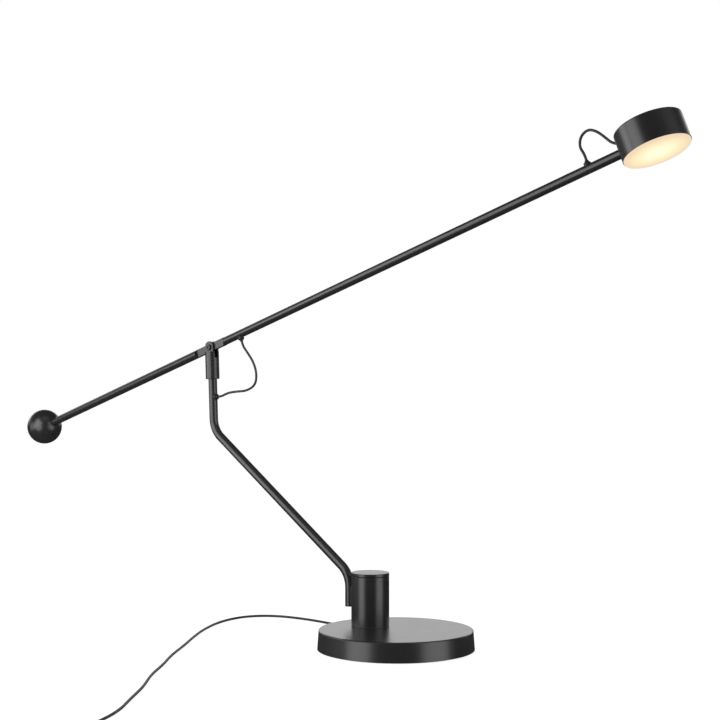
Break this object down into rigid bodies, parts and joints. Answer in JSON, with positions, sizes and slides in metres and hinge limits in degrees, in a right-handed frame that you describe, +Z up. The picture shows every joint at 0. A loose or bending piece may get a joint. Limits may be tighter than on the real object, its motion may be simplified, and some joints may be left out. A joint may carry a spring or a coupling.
{
  "type": "counterweight balance desk lamp",
  "caption": "Desk lamp: a long arm pivots on a bent stem over a round weighted base, balanced by a steel ball behind and a small round LED head in front.",
  "frame": {"origin": "centre of the foot pad's underside, on the desk", "axes": "+Z up; +X from the base's centre towards the lit head, in the arm's plane; the column stands at -X of the centre"},
  "size_m": [1.1229, 0.7089, 0.5918],
  "materials": {
    "satin_black": "satin powder coat",
    "black_fasteners": "blackened, slightly worn",
    "lead_black": "smooth matt flexible lead",
    "grommet_rubber": "moulded matt rubber",
    "opal_diffuser": "translucent opal, lit warm",
    "white_reflector": "gloss white",
    "weight_steel": "turned steel disc, oiled",
    "zinc_steel": "zinc plated",
    "turned_brass": "turned",
    "nickel_pins": "nickel plated",
    "foot_foam": "dense foam rubber",
    "nylon": "black nylon",
    "machined_aluminium": "machined",
    "board_green": "solder mask",
    "board_white": "white solder mask on aluminium",
    "led_phosphor": "phosphor",
    "adapter_case": "fine textured moulding"
  },
  "bodies": {
    "base": {"base_cover": "satin_black", "base_weight": "weight_steel", "base_plate": "zinc_steel", "base_screws": "zinc_steel", "base_pad": "foot_foam", "swivel_hub": "zinc_steel", "hub_nuts": "zinc_steel", "swivel_washer": "nylon", "wave_washer": "zinc_steel", "base_lead": "lead_black", "base_lead_relief": "grommet_rubber", "cord_run": "lead_black", "cord_coil": "lead_black", "cord_tail": "lead_black", "adapter_relief": "grommet_rubber", "adapter_rear_shell": "adapter_case", "adapter_front_shell": "adapter_case", "adapter_pins": "nickel_pins", "adapter_board": "board_green"},
    "column": {"column_tube": "satin_black", "column_floor": "machined_aluminium", "driver_board": "board_green", "pot_bracket": "zinc_steel", "dimmer_pot": "zinc_steel", "stem_tube": "satin_black", "stem_end_plug": "satin_black", "stem_saddle": "satin_black", "saddle_screws": "black_fasteners", "stem_lead": "lead_black", "stem_grommet": "grommet_rubber", "stem_spigot": "zinc_steel", "spigot_screw": "zinc_steel"},
    "knob": {"dimmer_knob": "satin_black"},
    "fork": {"fork_sleeve": "satin_black", "swivel_bush": "turned_brass", "pivot_bolt": "black_fasteners", "friction_washers": "nylon", "pivot_loop_lower": "lead_black"},
    "arm": {"pivot_bar": "satin_black", "rear_rod": "satin_black", "counterweight_ball": "satin_black", "ball_grub_screw": "black_fasteners", "arm_tube": "satin_black", "arm_grommets": "grommet_rubber", "arm_lead": "lead_black", "arm_end_bush": "turned_brass", "head_bolt": "zinc_steel", "pivot_loop_upper": "lead_black"},
    "head": {"head_shell": "satin_black", "head_swivel_seat": "machined_aluminium", "head_collar": "satin_black", "heat_sink": "machined_aluminium", "head_screws": "zinc_steel", "led_board": "board_white", "led_chips": "led_phosphor", "diffuser": "opal_diffuser", "reflector": "white_reflector", "head_gland": "grommet_rubber", "head_lead": "lead_black", "head_loop": "lead_black"}
  },
  "joints": [
    {"name": "column_swivel", "type": "hinge", "parent": "base", "child": "column", "pos_m": [-0.0415, 0, 0.03], "axis": [0, 0, 1], "range_deg": [-165, 165]},
    {"name": "dimmer_turn", "type": "hinge", "parent": "column", "child": "knob", "pos_m": [-0.0415, 0, 0.083], "axis": [0, 0, 1], "range_deg": [0, 270]},
    {"name": "fork_swivel", "type": "hinge", "parent": "column", "child": "fork", "pos_m": [-0.32831, 0, 0.3545], "axis": [-0.0419, 0, 0.9991], "range_deg": [-90, 90], "deforming": ["pivot_loop_lower"]},
    {"name": "arm_tilt", "type": "hinge", "parent": "fork", "child": "arm", "pos_m": [-0.32831, 0, 0.3545], "axis": [0, -1, 0], "range_deg": [-38, 14], "deforming": ["pivot_loop_upper"]},
    {"name": "head_roll", "type": "hinge", "parent": "arm", "child": "head", "pos_m": [-0.32831, 0, 0.3545], "axis": [0.9566, 0, 0.2914], "range_deg": [-90, 90], "deforming": ["head_loop"]}
  ]
}
